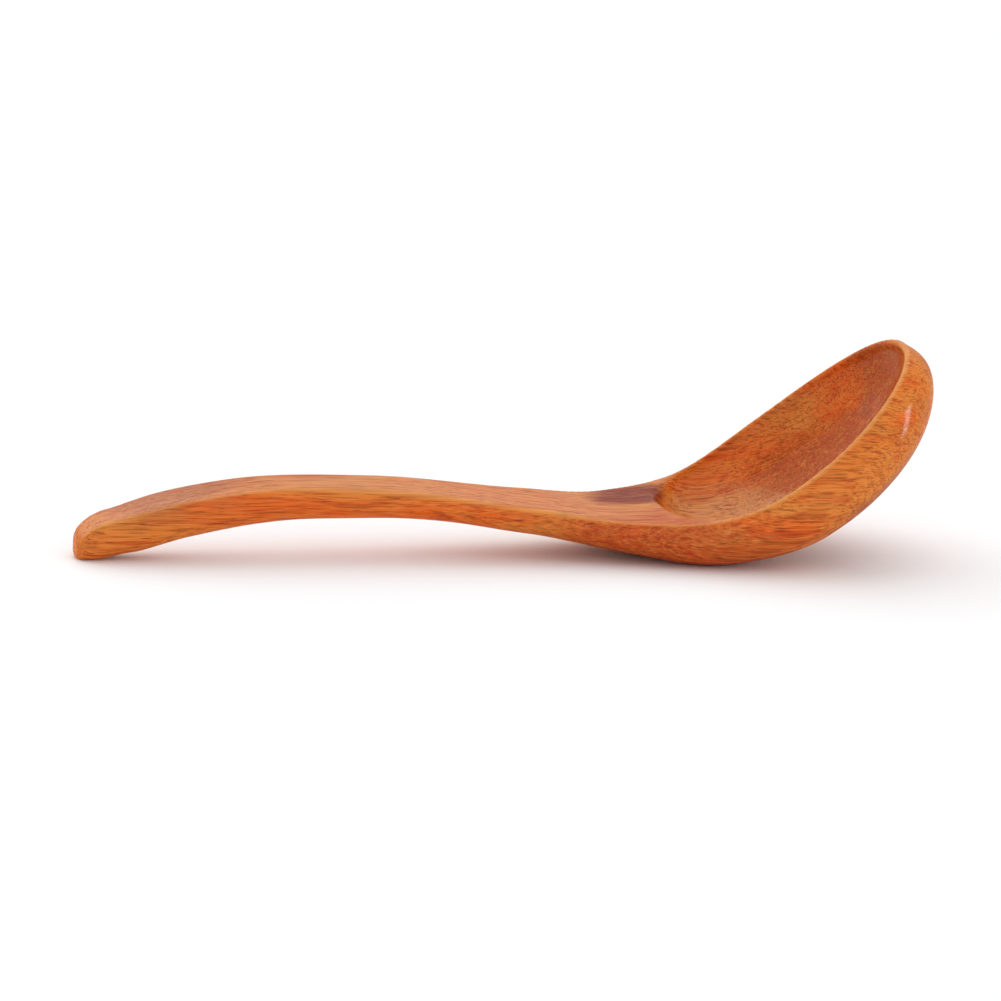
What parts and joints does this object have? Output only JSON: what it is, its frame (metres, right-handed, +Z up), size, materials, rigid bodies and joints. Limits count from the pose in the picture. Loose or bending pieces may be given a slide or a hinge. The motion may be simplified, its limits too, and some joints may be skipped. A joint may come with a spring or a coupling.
{
  "type": "wooden soup spoon",
  "caption": "One-piece carved wooden soup spoon: arched, flat-topped handle, and a deep egg-shaped bowl tilted up towards its tip, under clear lacquer.",
  "frame": {"origin": "under the middle of the spoon's length, on its centre line, on the surface that it lies on", "axes": "+X from the tail of the handle to the tip of the bowl, +Y across the spoon, +Z up out of the bowl"},
  "size_m": [0.1724, 0.044, 0.0435],
  "materials": {
    "lacquered_wood": "clear satin-gloss lacquer over straight-grained orange-brown hardwood"
  },
  "bodies": {
    "root": {"spoon": "lacquered_wood"}
  },
  "joints": []
}
